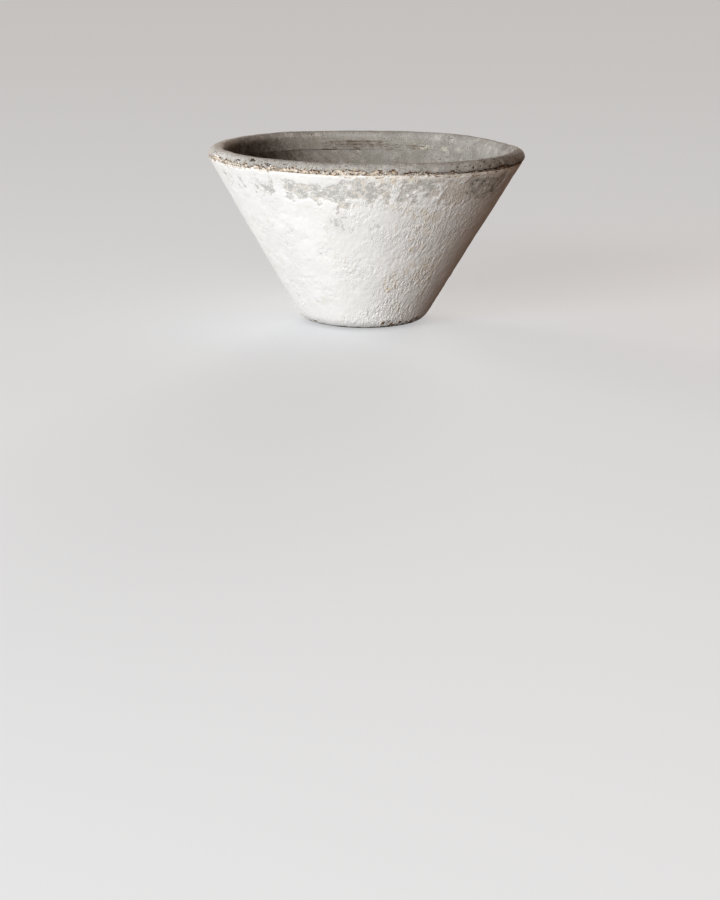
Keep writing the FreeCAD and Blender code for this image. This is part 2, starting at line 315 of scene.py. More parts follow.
def finish_of(name, ground, tones, stains, bumps, roughness):
    """A dry mineral finish: a ground colour, tones all over it, stains where the mesh has a mask, and grain.

    A tone is its colour, a feature size in millimetres, and the noise levels where it begins and is full.
    A stain is a mask's name, a colour, a feature size, how far noise breaks it up, where it begins and is
    full, and the path that its noise follows. A bump is a feature size and a depth in millimetres, its path,
    and its mask. A path is the place itself, level streaks far longer than they are high, or the strokes of
    the brush, high or low on the side.
    """
    material = bpy.data.materials.new(name)
    material.use_nodes = True
    tree = material.node_tree
    shader = tree.nodes["Principled BSDF"]
    shader.inputs["Roughness"].default_value = roughness
    shader.inputs["Specular IOR Level"].default_value = 0.3
    place = add(tree, "ShaderNodeTexCoord").outputs["Object"]
    level = add(tree, "ShaderNodeVectorMath", {0: place, 1: LEVEL_STREAKS}, operation="MULTIPLY")
    paths = {
        "place": place,
        "level": level.outputs[0],
        "strokes": add(tree, "ShaderNodeAttribute", attribute_name="strokes").outputs["Vector"],
        "low_strokes": add(tree, "ShaderNodeAttribute", attribute_name="low_strokes").outputs["Vector"],
    }
    colour = linear(ground)
    for tone, size, low, high in tones:
        cloud = add(tree, "ShaderNodeTexNoise", {
            "Vector": place, "Scale": 1 / (size * MM), "Detail": 4.0, "Roughness": 0.6})
        colour = laid_over(tree, colour, cloud.outputs["Fac"], low, high, tone)
    for mask, stain, size, ragged, low, high, path in stains:
        cloud = add(tree, "ShaderNodeTexNoise", {
            "Vector": paths[path], "Scale": 1 / (size * MM), "Detail": 3.0, "Roughness": 0.6})
        amount = add(tree, "ShaderNodeAttribute", attribute_name=mask)
        edge = add(tree, "ShaderNodeMath", {
            0: cloud.outputs["Fac"], 1: ragged, 2: amount.outputs["Fac"]}, operation="MULTIPLY_ADD")
        colour = laid_over(tree, colour, edge.outputs[0], low, high, stain)
    tree.links.new(colour, shader.inputs["Base Color"])
    normal = None
    for size, depth, path, mask in bumps:
        cloud = add(tree, "ShaderNodeTexNoise", {
            "Vector": paths[path], "Scale": 1 / (size * MM), "Detail": 3.0, "Roughness": 0.55})
        strength = add(tree, "ShaderNodeAttribute", attribute_name=mask).outputs["Fac"] if mask else 1.0
        inputs = {"Height": cloud.outputs["Fac"], "Distance": depth * MM, "Strength": strength}
        if normal:
            inputs["Normal"] = normal
        normal = add(tree, "ShaderNodeBump", inputs).outputs[0]
    tree.links.new(normal, shader.inputs["Normal"])
    return material


# Fibre cement, pressed by hand and weathered: dull grey, sandy, mottled, with soil in its pits and cracks.
# The pits, the crack and some chips are also painted near black, as painted shade in those hollows.
# Where paint has flaked off, limewash is left in its pores, so it is paler there.
CEMENT = finish_of(
    "weathered_fibre_cement", "#9D9C98",
    tones=[
        ("#8E8C87", 38, 0.42, 0.62), ("#B0AEA9", 17, 0.50, 0.68), ("#6B6761", 4.5, 0.58, 0.72),
        ("#BAB8B3", 3.0, 0.62, 0.76),
    ],
    stains=[
        ("limewash", "#C1C0BC", 6, 0.7, 0.40, 1.25, "place"),
        ("limewash", "#E2E1DE", 3.8, 2.0, 1.76, 2.04, "place"),
        ("silt", "#86837B", 30, 0.6, 0.45, 1.15, "place"),
        ("grit", "#69645D", 3.2, 2.0, 1.95, 2.35, "place"),
        ("grit", "#BCBAB4", 2.4, 2.0, 2.02, 2.35, "place"),
        ("tide", "#64584A", 1.7, 2.0, 1.72, 2.10, "level"),
        ("tide", "#40362C", 2.2, 2.0, 2.16, 2.36, "place"),
        ("soot_and_painted_shade", "#332A24", 9, 0.7, 0.38, 1.36, "place"),
        ("chip", "#C2BDB1", 3, 1.2, 1.05, 1.35, "place"),
        ("crumb", "#7B6652", 6.0, 2.0, 1.92, 2.18, "place"),
        ("crumb", "#B9A68D", 4.2, 2.0, 2.04, 2.24, "place"),
        ("crumb", "#D6CDBF", 3.2, 2.0, 2.18, 2.36, "place"),
        ("soil", "#4A3323", 3.6, 2.0, 1.70, 2.05, "place"),
        ("crumb", "#33241A", 3.2, 2.0, 2.02, 2.20, "place"),
        ("soil", "#241912", 2.6, 2.0, 2.00, 2.25, "place"),
        # Pits, the crack and chips: near black, partly soil and partly painted shade in the hollows.
        ("pit", "#15110E", 3, 0.3, 0.45, 0.80, "place"),
    ],
    bumps=[(9, 0.5, "place", None), (2.6, 0.6, "place", None)],
    roughness=0.93,
)

# Cream masonry paint, an oil-bound first coat: warm ivory, chalky, rusted and soiled at its torn edges.
CREAM = finish_of(
    "cream_masonry_paint", "#DED8CF",
    tones=[("#E7E2DA", 16, 0.45, 0.65), ("#D0C7B9", 6, 0.56, 0.72)],
    stains=[
        ("dust", "#B5A793", 6.0, 1.0, 0.95, 1.50, "place"),
        ("rust", "#A07B58", 4, 0.9, 0.70, 1.10, "place"),
        ("crumb", "#A0866A", 5.0, 2.0, 2.00, 2.24, "place"),
        ("crumb", "#54402F", 3.2, 2.0, 2.10, 2.28, "place"),
        ("soil", "#4B3423", 3.5, 0.9, 0.68, 0.98, "place"),
        ("white", "#ECEAE4", 5, 0.9, 0.75, 0.95, "place"),
    ],
    bumps=[
        (2.9, 1.9, "strokes", "wrinkled"),
        (2.9, 1.9, "low_strokes", "wrinkled_low"),
        (1.8, 0.3, "place", None),
    ],
    roughness=0.85,
)

# White masonry paint, brushed on thick and gone chalky: soft matt white, wrinkled down the brush strokes,
# cream where the wrinkles' tops have worn, and greyer where it has thinned.
WHITE = finish_of(
    "white_masonry_paint", "#EBEBEA",
    tones=[("#F0F0EF", 40, 0.45, 0.62), ("#E7E5DF", 24, 0.58, 0.74)],
    stains=[
        ("ivory", "#E3DBCD", 11, 1.6, 1.25, 1.80, "strokes"),
        ("thin", "#C4C2BE", 3.4, 2.0, 1.38, 2.05, "place"),
        ("ridge", "#D9CCB8", 4.0, 1.6, 1.22, 1.95, "strokes"),
        ("speck", "#B3ABA0", 3.2, 2.0, 2.36, 2.52, "place"),
        ("soil", "#7C634A", 4, 0.9, 0.75, 1.25, "place"),
    ],
    bumps=[
        (2.7, 1.9, "strokes", "wrinkled"),
        (2.7, 2.0, "low_strokes", "wrinkled_low"),
        (2.2, 0.25, "place", None),
    ],
    roughness=0.85,
)


# What the weather and the maker's hand left on the surface

def rim_relief(place, a):
    """Height and masks of the collar's outside and crest, at a distance a up from the joint.

    The cement is uneven and sandy, and stands out more on the right. Up to a wandering edge above the joint
    it has crumbled back, with a soiled groove along that edge. Above it, air bubbles have left pits, which
    crowd on the right near a crack, and a few chips are on the left. A pit is what lies close to a random
    spot whose own number is low enough, on points that are rippled, so that no pit is round.
    """
    edge = place[:1] * np.array([1, 1, 0]) + np.array([0, 0, HEIGHT])
    right = between(30, 120, 8)
    wander = 3.6 * noise(edge, 64, 20) + 4.0 * noise(edge, 19, 21) + 2.6 * noise(edge, 7, 22)
    crumbled = (8.6 - 3.4 * right + wander) * MM
    lower = ease(crumbled - a, -0.7 * MM, 1.3 * MM)
    broken = np.maximum(ease(noise(place, 17, 23), -0.15, 0.35), right)
    groove = hump(a, crumbled, (1.3 + 0.8 * right) * MM) * broken
    rough = 0.6 * noise(place, 55, 24) + 0.35 * noise(place, 22, 25) + 0.2 * layers(place, 6, 26, 2)
    outer_half = ease(a, 0, 8 * MM) * (1 - ease(a, 30 * MM, 40 * MM))
    swell = (2.2 * np.sin(TURN) + 1.2 * around(88, 22)) * outer_half
    ripple = np.stack([noise(place, 4.5, seed) for seed in (36, 37, 75)], axis=-1)
    bubbles = place + 1.3 * MM * ripple
    distance, tag = spots(bubbles, 8, 27)
    share = 0.12 + 0.28 * between(35, 60, 4) * hump(a, 14 * MM, 6 * MM) + 0.2 * between(-100, -10, 20)
    pits = (tag < share) * ease(0.16 + 0.5 * tag - distance, 0.0, 0.10)
    distance, tag = spots(bubbles, 6.5, 28)
    cluster = between(33, 62, 3) * hump(a, 17 * MM, 8 * MM)
    cluster = cluster + 0.25 * between(-62, -6, 4) * hump(a, 12 * MM, 4 * MM)
    pits = np.maximum(pits, 0.85 * (tag < cluster) * ease(0.14 + 0.30 * tag - distance, 0.0, 0.12))
    knocks = around(-44.5, 1.6) * hump(a, 20 * MM, 6 * MM) + around(-51, 2.4) * hump(a, 12 * MM, 3.5 * MM)
    knocks += around(-67.5, 1.2) * hump(a, 10 * MM, 3 * MM) + around(-36.5, 1.8) * hump(a, 12 * MM, 3.5 * MM)
    chip = ease(knocks + 0.5 * noise(place, 6, 30), 0.45, 0.80)
    crack = around(56, 0.7) * hump(a, 12 * MM, 5 * MM)
    height = rough + swell - lower * (0.8 + 0.7 * noise(place, 5, 31))
    height = height - 1.5 * groove - 1.1 * pits - 1.6 * chip - 2.2 * crack
    scattered = hump(a, crumbled + 2 * MM, 5 * MM) * (0.8 + 0.3 * noise(place, 14, 34)) * (1 - 0.3 * right)
    masks = {
        "soil": np.clip(groove * (0.95 + 0.25 * right + 0.5 * noise(place, 9, 32)) + 1.1 * chip, 0, 1.2),
        # The pit mask makes pits, the crack and chips near black: soil there, and painted shade in the
        # hollows.
        "pit": np.clip(pits + 0.5 * crack + 0.8 * chip * ease(noise(place, 6, 33), 0.0, 0.3), 0, 1),
        "crumb": np.maximum(lower, scattered),
        "grit": 0.88 + 0.14 * noise(place, 30, 35) + 0.08 * between(-120, -10, 15),
        "crumbled": crumbled + 0 * a,
    }
    return height * MM, masks


def side_relief():
    """Heights of the bare side and of both coats on the paint's rows, and the masks of all three.

    Both coats are thicknesses on the bare height, and thin out towards their torn edges. Where a coat is
    lost, its surface dives just under what it covered. The loss is layered noise plus how worn each stretch
    of the side is, and it is greatest in a band under the rim. Wrinkles are noise drawn out along the brush
    strokes, down the cone, and broader low on the side.
    """
    section, normal = outside(PAINT_ROWS)
    place = turned(section)
    s = PAINT_ROWS[:, None]
    on_rim = s < 0
    rim_height, rim_masks = rim_relief(place, np.maximum(-s, 0))

    sway = TURN + 0.020 * noise(place, 26, 40)
    strokes = np.stack(np.broadcast_arrays(
        STROKE_RADIUS * np.sin(sway), -STROKE_RADIUS * np.cos(sway), STROKE_SHORTENING * s), axis=-1)
    low_strokes = strokes * LOW_NARROWING
    lower_side = ease(s, 120 * MM, 240 * MM)

    def brushed(size, seed):
        """Noise along the strokes, passing from the high ones to the low ones down the side."""
        return (1 - lower_side) * noise(strokes, size, seed) + lower_side * noise(low_strokes, size, seed)

    smears = noise(strokes * np.array([1, 1, 0.4]), 11, 70)
    net = 1 - 2.6 * np.abs(brushed(6.0, 41) + 0.4 * noise(place, 6, 38))
    grains = np.maximum(brushed(4.6, 42), -0.25) + 0.5 * noise(place, 4.6, 43)
    folds = 0.30 * np.maximum(net, -0.4) + 0.75 * grains
    thicker = 0.22 * between(6, 24, 8) + 0.42 * between(24, 52, 8)
    thicker = thicker - 0.40 * between(-90, -8, 12) - 0.15 * between(50, 90, 8)
    brushwork = ease(noise(place, 60, 44) + 0.5 * noise(place, 24, 45) + thicker, -0.75, 0.80)
    between_ends = ease(s, -4 * MM, 5 * MM) * (1 - ease(s, PAINT_END - 14 * MM, PAINT_END))
    texture = (0.08 + 0.92 * brushwork) * between_ends
    wrinkle = folds * texture * (0.35 + 0.65 * ease(s, 45 * MM, 80 * MM))
    lumps = 0.8 + 0.40 * noise(place, 70, 46) + 0.25 * noise(place, 30, 47)
    bare = 0.2 * noise(place, 24, 48) + 0.1 * noise(place, 8, 49) + lumps + 0.25 * wrinkle

    starts = (21 - 9 * between(-8, 64, 4) + 9 * noise(place, 32, 39)) * MM
    ends = (63 + 13 * noise(place, 45, 68) + 6 * noise(place, 15, 69)) * MM
    band = ease(s - starts, -5 * MM, 5 * MM) * (1 - ease(s - ends, -19 * MM, 15 * MM))
    worn = 0.92 * between(-31, 9) + 0.78 * between(13, 28) + 1.0 * between(28, 41) + 0.95 * between(41, 64)
    worn += 0.12 * between(-66, -34) + 0.8 * between(80, 130, 8)
    worn += 0.78 * between(-170, -100, 10) + 0.7 * between(138, 176, 6)
    ragged = layers(place, 18, 50, 4, 0.68)
    flaked = 0.80 * ragged * (0.55 + 0.45 * ease(band * worn, 0.0, 0.3)) + band * worn - 0.82
    smudged = (around(-11, 4) + 0.6 * around(5, 2)) * hump(s, 108 * MM, 26 * MM)
    flecked = 0.02 + 0.25 * smudged + 0.08 * texture - 0.25 * between(-90, -14, 4)
    loss = np.maximum(flaked, 0.6 * noise(place, 6, 55) + 0.5 * noise(place, 26, 56) + flecked - 1.06)
    edge = place[len(LAP_ROWS):len(LAP_ROWS) + 1]
    crisp = between(-34, -9, 3)
    torn = (0.4 + (1 - crisp) * (1.4 + 4.6 * noise(edge, 24, 57) + 3.6 * noise(edge, 8, 58))) * MM
    past_end = s - PAINT_END + (2.5 + 1.5 * noise(place, 12, 59)) * MM
    white_loss = np.maximum(np.maximum(loss, (torn - s) / (2 * MM)), past_end / (2 * MM))
    keeps_cream = 0.02 + 0.15 * ease(noise(place, 34, 60), 0.0, 0.6) + 0.6 * between(27, 42, 3)
    level = place * np.array([0.45, 0.45, 1.0])
    holes = 1.1 * layers(level, 7, 61, 2) + 0.05 + 0.4 * between(30, 120, 8)
    on_lap = np.maximum((-s - rim_masks["crumbled"]) / (1.5 * MM), holes)
    cream_loss = np.where(on_rim, on_lap, loss - keeps_cream)

    base = np.where(on_rim, 2 * COAT + rim_height, bare * MM)
    cream_gone = ease(cream_loss, -0.12, 0.06)
    white_gone = ease(white_loss, -0.12, 0.06)
    thin = ease(white_loss, -0.75, 0.0)
    cream = COAT * (0.9 + 0.3 * noise(place, 9, 62)) * (1 - 0.75 * thin)
    cream = cream + np.where(on_rim, 0, 0.2 * wrinkle * MM)
    white = COAT * (1 - 0.9 * thin) + np.where(on_rim, 0, 0.55 * wrinkle * (1 - 0.85 * thin) * MM)
    sunk = np.where(s > BAND, 0.55, 0.12) * MM
    cream_height = base + cream * (1 - cream_gone) - sunk * cream_gone
    white_height = base + (cream + white) * (1 - white_gone) - (sunk + 0.1 * MM) * white_gone

    yellowed = between(7, 42, 8) * hump(s, 100 * MM, 36 * MM)
    yellowed = yellowed + between(8, 50, 8) * hump(s, 218 * MM, 34 * MM)
    under_rim = 0.2 + 0.18 * between(-5, 64, 4)
    patchy = 0.4 + 0.6 * ease(noise(place, 12, 63), -0.2, 0.4)
    top_soil = hump(s, torn, 2.2 * MM) * patchy
    splashed = 1.5 * between(14, 66, 8) * hump(s, PAINT_END - 14 * MM, 8 * MM)
    splashed = splashed + 0.9 * between(-68, -36, 6) * hump(s, PAINT_END - 11 * MM, 5 * MM)
    foot_soil = ease(s, PAINT_END - 9 * MM, PAINT_END) * (0.85 + 0.5 * noise(place, 20, 64))
    foot_soil = foot_soil + splashed * ease(noise(place, 8, 67), 0.0, 0.5)
    smeared = between(-66, -30) * hump(s, 30 * MM, 16 * MM) * (0.40 + 0.7 * smears)
    greyed = 0.55 * between(44, 72, 5) * hump(s, 52 * MM, 34 * MM)
    ridges = np.clip((1.3 + 0.5 * between(0, 55, 8)) * wrinkle, 0, 1)
    ivory = 0.2 + under_rim * hump(s, 6 * MM, 12 * MM) + 0.2 * texture + 0.24 * yellowed
    return {
        "section": section,
        "normal": normal,
        "paths": {"strokes": strokes, "low_strokes": low_strokes},
        "bare": base,
        "cream": cream_height,
        "white": white_height,
        "white_masks": {
            "thin": thin + smeared + 0.55 * smudged + greyed,
            "wrinkled": texture * (1 - 0.6 * thin) * (1 - lower_side),
            "wrinkled_low": texture * lower_side,
            "speck": 0.85 + 0.15 * ease(s, 60 * MM, 200 * MM) * between(-60, 60, 15),
            "ridge": ridges * (0.5 + 0.5 * ease(noise(place, 45, 65), -0.2, 0.4)),
            "soil": np.clip(0.75 * top_soil * (1 - 0.8 * crisp) + foot_soil, 0, 1),
            "ivory": np.clip(ivory, 0, 1),
        },
        "cream_masks": {
            "crumb": np.where(on_rim, 1.0, 0.95 * ease(torn - s, 0, 3 * MM)),
            "dust": np.where(on_rim, 0.75, 0.5 * ease(torn - s, 0, 3 * MM)),
            "wrinkled": np.where(on_rim, 0, texture * (1 - lower_side)),
            "wrinkled_low": texture * lower_side,
            "rust": np.where(on_rim, 0.16, 0) + (0.15 + 0.45 * crisp) * hump(s, -1 * MM, 1.3 * MM) * patchy,
            "soil": np.where(on_rim, 0.2 + 0.5 * ease(-s - rim_masks["crumbled"], -3 * MM, 0), foot_soil),
            "white": np.where(on_rim, 0.25 * between(-100, 20, 10), 0.1),
        },
        "bare_masks": {
            "limewash": np.where(on_rim, 0, 0.70 + 0.36 * (1 - ease(loss, 0.0, 0.36))),
            "soot_and_painted_shade": np.where(on_rim, 0, 0.55 * between(41, 66) * ease(noise(place, 16, 66), -0.1, 0.4)),
            "soil": foot_soil,
        },
    }


def coat_piece(name, material, node, side, height, sunk, masks):
    """A coat: its outer face on the paint's rows, closed by a face that is sunk in the cement."""
    heel_rows = np.linspace(WALL_LENGTH, PAINT_END, 4)
    hidden, hidden_normal = outside(np.concatenate([[-LAP, 0], heel_rows]))
    outer = turned(side["section"]) + turned(side["normal"]) * height[..., None]
    inner = turned(hidden - sunk * hidden_normal)
    points = np.concatenate([outer[::-1], inner])
    empty = np.zeros((len(inner), COLUMNS))
    closed = {
        key: np.concatenate([np.broadcast_to(value, height.shape)[::-1], empty])
        for key, value in masks.items()
    }
    rest = np.zeros((len(inner), COLUMNS, 3))
    paths = {key: np.concatenate([value[::-1], rest]) for key, value in side["paths"].items()}
    ring_piece(name, points, material, node, closed, paths)


def make_rim():
    """The folded collar: crest circle, thinning skirt, lip, and the seat that is hidden on the wall."""
    seat_in = RIM + (BARE_RIM - WALL_THICKNESS - JOINT_CLEARANCE) * OUT
    lip_wall = seat_in + (seat_in[1] - SKIRT_LEVEL) / -DOWN[1] * DOWN
    lip_free = lip_wall - (SKIRT_LIP - JOINT_CLEARANCE) * OUT
    away = lip_free - RIM
    touch = math.atan2(away[1], away[0]) % (2 * math.pi) - math.acos(CREST_RADIUS / math.hypot(*away))
    touch_point = RIM + CREST_RADIUS * np.array([math.cos(touch), math.sin(touch)])
    first = NORMAL_ANGLE + LAP / CREST_RADIUS
    section = np.concatenate([
        bend(RIM, CREST_RADIUS, NORMAL_ANGLE, first, len(LAP_ROWS)),
        bend(RIM, CREST_RADIUS, first, touch, 44),
        run(touch_point, lip_free, 26),
        run(lip_free, lip_wall, LIP_ROWS),
        run(lip_wall, seat_in, SEAT_ROWS),
        run(seat_in, RIM + CREST_RADIUS * OUT, SEAT_ROWS),
    ])
    arc = np.concatenate([[0], np.cumsum(np.linalg.norm(np.diff(section, axis=0), axis=1))])[:, None]
    place = turned(section)
    seen = np.ones(len(section))
    seen[1 - LIP_ROWS - 2 * SEAT_ROWS:] = 0
    height, masks = rim_relief(place, arc)
    inside = ease(arc, 40 * MM, 52 * MM)
    past_crest = ease(arc, 31 * MM, 42 * MM)
    z = place[..., 2]
    tide = 0.95 * around(-178, 18) * hump(z, SKIRT_LEVEL + 12 * MM, 8 * MM)
    tide += 0.7 * around(154, 7) * hump(z, SKIRT_LEVEL + 7 * MM, 5 * MM)
    lip_marks = hump(z, SKIRT_LEVEL, 3 * MM) * ease(noise(place, 30, 73), -0.2, 0.4)
    tide += 0.9 * lip_marks * (1 - between(90, 165, 10))
    tide += 0.5 * around(-177, 9) * hump(z, SKIRT_LEVEL + 18 * MM, 1.4 * MM)
    down = ease(HEIGHT - z, 3 * MM, 20 * MM)
    # Inside on the left at the back: soot with drips, darker further below the crest. Partly a real stain,
    # partly painted shade where the left rim shades the inside.
    stain = 0.88 * around(-120, 20) * (0.42 + 0.58 * down) * (0.95 + 0.1 * noise(place, 25, 74))
    stain += 0.32 * around(-178, 14) * hump(z, SKIRT_LEVEL + 9 * MM, 6 * MM)
    chips = (around(154, 5) + around(144, 2) + around(137.5, 2)) * hump(z, SKIRT_LEVEL + 9 * MM, 6 * MM)
    masks = {
        "soil": masks["soil"] * (1 - inside),
        "pit": masks["pit"] * (1 - 0.6 * inside),
        "crumb": masks["crumb"] * (1 - inside),
        "grit": masks["grit"] * (1 - 0.04 * inside),
        "limewash": 0.62 * between(-118, -48, 14) * (1 - inside),
        "tide": inside * np.clip(tide, 0, 1.1),
        # On the rim's outside at the right, this mask also darkens the shadow side: partly dirt, partly
        # painted shade.
        "soot_and_painted_shade": past_crest * stain + 0.42 * (1 - inside) * between(44, 112, 12),
        "silt": 0.55 * inside * (1 - 0.4 * between(85, 150, 15)),
        "chip": 0.58 * inside * chips,
    }
    height = height * seen[:, None] - inside * tide * 0.3 * MM
    points = place + turned(section_normals(section)) * height[..., None]
    ring_piece("rolled_rim", points, CEMENT, "rim_collar", masks)


def make_wall(side):
    """The cone wall with its turned-in foot ring: the bare outside on the band's rows, coarser below."""
    low = np.linspace(BAND, FOOT_END, 25)
    outer_rows = np.concatenate([BAND_ROWS, low])
    outer = outside(outer_rows)[0]
    top_in = RIM + (BARE_RIM - WALL_THICKNESS) * OUT
    inner = HEEL_RADIUS - WALL_THICKNESS
    lap = DISC_RADIUS + JOINT_CLEARANCE
    top_edge = run(RIM + BARE_RIM * OUT, top_in, 4)[1:]
    lining = np.concatenate([
        run(top_in, HEEL + inner * OUT, 27),
        bend(HEEL, inner, NORMAL_ANGLE, -math.pi / 2, 6),
    ])
    shelf = np.array([(FOOT_RADIUS, WALL_THICKNESS), (lap, WALL_THICKNESS)])
    foot_ring = np.concatenate([
        run((lap, WALL_THICKNESS), (lap, LAP_HEIGHT), 2)[1:],
        run((lap, LAP_HEIGHT), (FOOT_OPENING, LAP_HEIGHT), 2),
        run((FOOT_OPENING, LAP_HEIGHT), (FOOT_OPENING, 0), 2),
        run((FOOT_OPENING, 0), (FOOT_RADIUS, 0), 2),
    ])
    rest = np.concatenate([top_edge, lining, shelf, foot_ring])
    section = np.concatenate([outer[::-1], rest])
    place = turned(section)
    bands = slice(len(LAP_ROWS), len(LAP_ROWS) + len(BAND_ROWS))
    low_place = turned(outside(low)[0])
    fade = 1 - ease(low, PAINT_END - 20 * MM, PAINT_END)[:, None]
    low_height = 0.45 * noise(low_place, 70, 46) + 0.3 * noise(low_place, 30, 47) - 0.15
    height = np.zeros((len(section), COLUMNS))
    height[:len(outer_rows)] = np.concatenate([side["bare"][bands], low_height * fade * MM])[::-1]
    z = place[..., 2]
    first = len(outer_rows) + len(top_edge)
    lined = np.zeros((len(section), 1))
    lined[first:first + len(lining)] = 1
    soiled = np.zeros((len(section), 1))
    soiled[first:first + len(lining) + len(shelf)] = 1
    inner_place = place * np.array([0.5, 0.5, 1.0])
    height += lined * (0.5 * noise(place, 60, 81) + 0.35 * noise(inner_place, 16, 82)) * MM
    creased = np.maximum(around(-158, 16), 0.5 * around(-60, 40))
    under_lip = ease(z, SKIRT_LEVEL - 45 * MM, SKIRT_LEVEL) * (1 - creased) * lined
    height += under_lip * 2.5 * MM
    runs = noise(place * np.array([1, 1, 0.15]), 14, 83)
    # The same left-hand stain down the inside wall, darker towards the lip: partly soot, partly painted
    # shade where the rim shades the inside.
    stain = around(-122, 25) * ease(z, SKIRT_LEVEL - 80 * MM, SKIRT_LEVEL) * (0.95 + 0.15 * runs)
    soil_line = ease(noise(place, 45, 84) * 30 * MM + 120 * MM - z, -25 * MM, 25 * MM)
    outer_masks = {}
    for key in ("limewash", "soot_and_painted_shade", "soil"):
        value = np.broadcast_to(side["bare_masks"][key], side["bare"].shape)
        below = np.repeat(value[bands.stop:bands.stop + 1], len(low), axis=0)
        if key == "soil":
            # Soil on the bare foot under the paint's end, which also serves as painted contact shadow where
            # the foot meets the floor.
            below = below + 0.75 * ease(low, PAINT_END - 6 * MM, PAINT_END)[:, None]
        outer_masks[key] = np.concatenate([value[bands], below])[::-1]
    empty = np.zeros((len(rest), COLUMNS))
    masks = {key: np.concatenate([value, empty]) for key, value in outer_masks.items()}
    masks["grit"] = soiled * (0.86 + 0.12 * noise(place, 30, 86))
    masks["silt"] = soiled * (0.55 + 0.3 * runs) * (1 - 0.8 * between(85, 150, 15))
    masks["soot_and_painted_shade"] += soiled * stain
    masks["soot_and_painted_shade"] += soiled * soil_line * (0.40 + 0.25 * noise(place, 25, 85))
    points = place + turned(section_normals(section)) * height[..., None]
    ring_piece("cement_wall", points, CEMENT, "cone_wall", masks)


def make_floor_disc():
    """The floor: a disc half-lapped into the foot ring, with a chamfered drain hole in the middle."""
    plug = FOOT_OPENING - JOINT_CLEARANCE
    mouth = DRAIN_RADIUS + DRAIN_CHAMFER
    chamfer_foot = (DRAIN_RADIUS, BASE_THICKNESS - DRAIN_CHAMFER)
    underside = np.concatenate([
        run((DRAIN_RADIUS, 0), (plug, 0), 6),
        run((plug, 0), (plug, LAP_HEIGHT), 2),
        run((plug, LAP_HEIGHT), (DISC_RADIUS, LAP_HEIGHT), 2),
        run((DISC_RADIUS, LAP_HEIGHT), (DISC_RADIUS, BASE_THICKNESS), 2),
    ])
    face = run((DISC_RADIUS, BASE_THICKNESS), (mouth, BASE_THICKNESS), 20)
    chamfer = run((mouth, BASE_THICKNESS), chamfer_foot, 3)
    bore = run(chamfer_foot, (DRAIN_RADIUS, 0), 3)
    section = np.concatenate([underside, face, chamfer, bore])
    place = turned(section)
    first = len(underside)
    top = np.zeros((len(section), 1))
    top[first + 1:first + len(face)] = 1
    soiled = np.zeros((len(section), 1))
    soiled[first:first + len(face) + len(chamfer)] = 1
    height = top * (0.5 * noise(place, 30, 91) + 0.3 * noise(place, 9, 92)) * MM
    masks = {
        "silt": 0.4 * soiled,
        "grit": 0.86 * soiled,
        "soot_and_painted_shade": soiled * (0.45 + 0.3 * noise(place, 35, 93)),
    }
    points = place + turned(section_normals(section)) * height[..., None]
    ring_piece("floor_disc", points, CEMENT, "base_disc", masks)


SIDE = side_relief()
make_rim()
make_wall(SIDE)
make_floor_disc()
coat_piece(
    "cream_coat", CREAM, "cream_undercoat",
    SIDE, SIDE["cream"], CREAM_SUNK, SIDE["cream_masks"])
coat_piece(
    "white_coat", WHITE, "white_topcoat",
    SIDE, SIDE["white"], WHITE_SUNK, SIDE["white_masks"])


# Studio

IMAGE_HEIGHT = 900
FOCAL_PIXELS = 2137
CAMERA_DISTANCE = 4.0775
CAMERA_HEIGHT = 0.7686
CAMERA_PITCH = math.radians(14.175)
CAMERA_ROLL = math.radians(0.509)
CAMERA_YAW = math.radians(-0.048)
SENSOR = 36.0
LAMP_AIM = HEIGHT * 0.6
SUN_SOFTNESS = math.radians(20)
# The colour the floor shows to bounced light, and also the painted shadow of its middle under the planter.
FLOOR_BOUNCE_AND_PAINTED_SHADOW = "#2E2925"


def placed(right, up, back, position):
    """The matrix of an object with these axes at this position."""
    matrix = np.eye(4)
    matrix[:3] = np.stack([right, up, back, position], axis=1)
    return Matrix(matrix.tolist())


def make_camera():
    """The camera at the photograph's angle: looking along +Y and down by the pitch, rolled a little."""
    flat = math.cos(CAMERA_PITCH)
    ahead = np.array([math.sin(CAMERA_YAW) * flat, math.cos(CAMERA_YAW) * flat, -math.sin(CAMERA_PITCH)])
    level = np.array([math.cos(CAMERA_YAW), -math.sin(CAMERA_YAW), 0.0])
    upward = np.cross(level, ahead)
    right = math.cos(CAMERA_ROLL) * level + math.sin(CAMERA_ROLL) * upward
    up = -math.sin(CAMERA_ROLL) * level + math.cos(CAMERA_ROLL) * upward
    data = bpy.data.cameras.new("camera")
    data.sensor_width = SENSOR
    data.lens = FOCAL_PIXELS / IMAGE_HEIGHT * SENSOR
    camera = bpy.data.objects.new("camera", data)
    camera.matrix_world = placed(right, up, -ahead, (0, -CAMERA_DISTANCE, CAMERA_HEIGHT))
    bpy.context.scene.collection.objects.link(camera)
    bpy.context.scene.camera = camera


def make_lamp(name, kind, azimuth, elevation, distance, power, colour, **shape):
    """A soft lamp that faces the middle of the planter. Azimuth 0 is in front, positive to the right."""
    data = bpy.data.lights.new(name, kind)
    data.energy = power
    data.color = linear(colour)[:3]
    for key, value in shape.items():
        setattr(data, key, value)
    lamp = bpy.data.objects.new(name, data)
    a, e = math.radians(azimuth), math.radians(elevation)
    back = np.array([math.sin(a) * math.cos(e), -math.cos(a) * math.cos(e), math.sin(e)])
    side = np.cross([0, 0, 1], back)
    side /= np.linalg.norm(side)
    lamp.matrix_world = placed(side, np.cross(back, side), back, back * distance + (0, 0, LAMP_AIM))
    bpy.context.scene.collection.objects.link(lamp)


